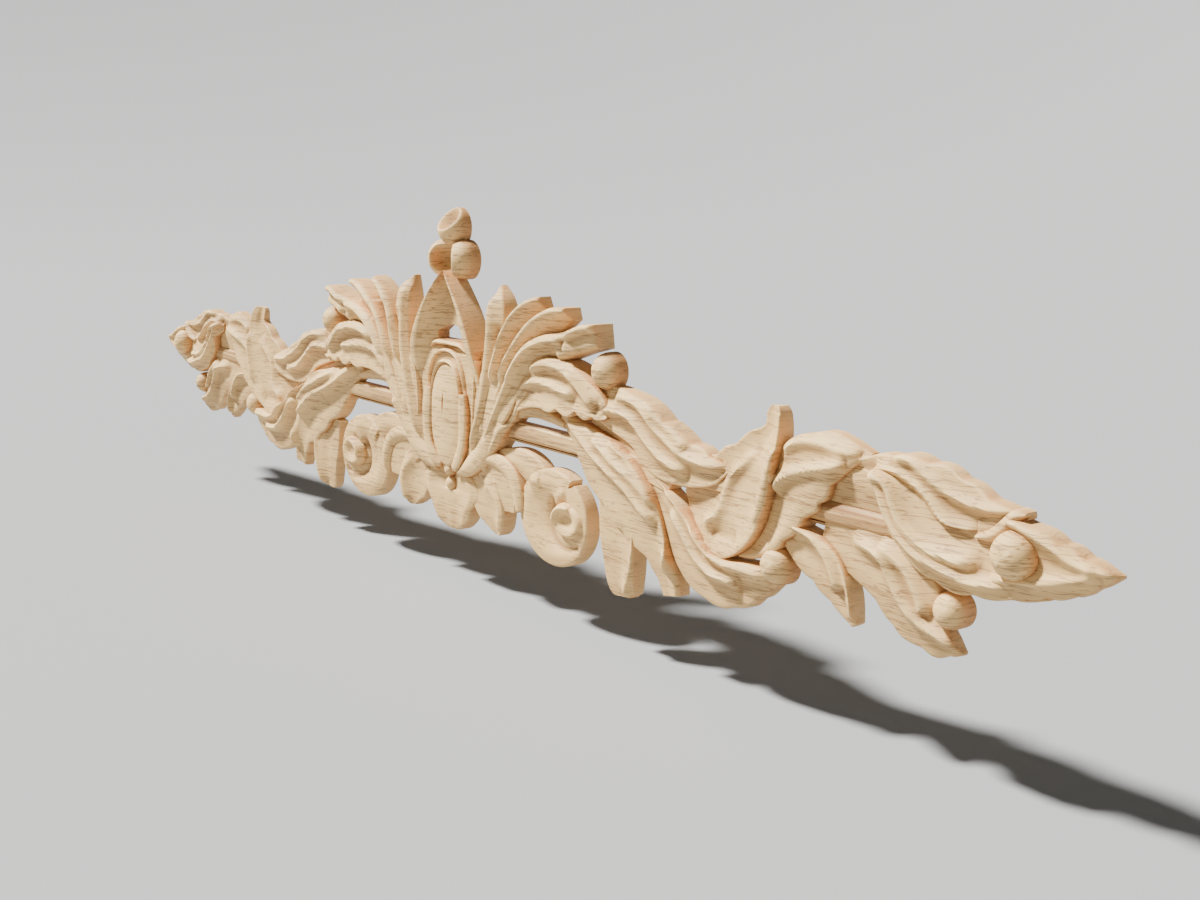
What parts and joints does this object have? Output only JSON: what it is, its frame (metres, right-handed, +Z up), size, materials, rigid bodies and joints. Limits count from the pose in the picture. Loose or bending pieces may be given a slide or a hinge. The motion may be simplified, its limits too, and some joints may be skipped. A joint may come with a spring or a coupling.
{
  "type": "carved wood applique",
  "caption": "Long carved wooden onlay with a crown of acanthus leaves over a moulded rod, scrolls, wrapped leaves and berries, flat on its back for fixing to furniture or a panel",
  "frame": {"origin": "on the flat back face at the middle of the length, level with the top edge of the rod", "axes": "+X along the length to the right as seen from the front, +Y out of the flat back towards the wall or panel, +Z up towards the crown berries; the carving faces -Y"},
  "size_m": [0.597, 0.0115, 0.1271],
  "materials": {
    "beech": "bare sanded pale hardwood"
  },
  "bodies": {
    "root": {"carved_applique": "beech"}
  },
  "joints": []
}
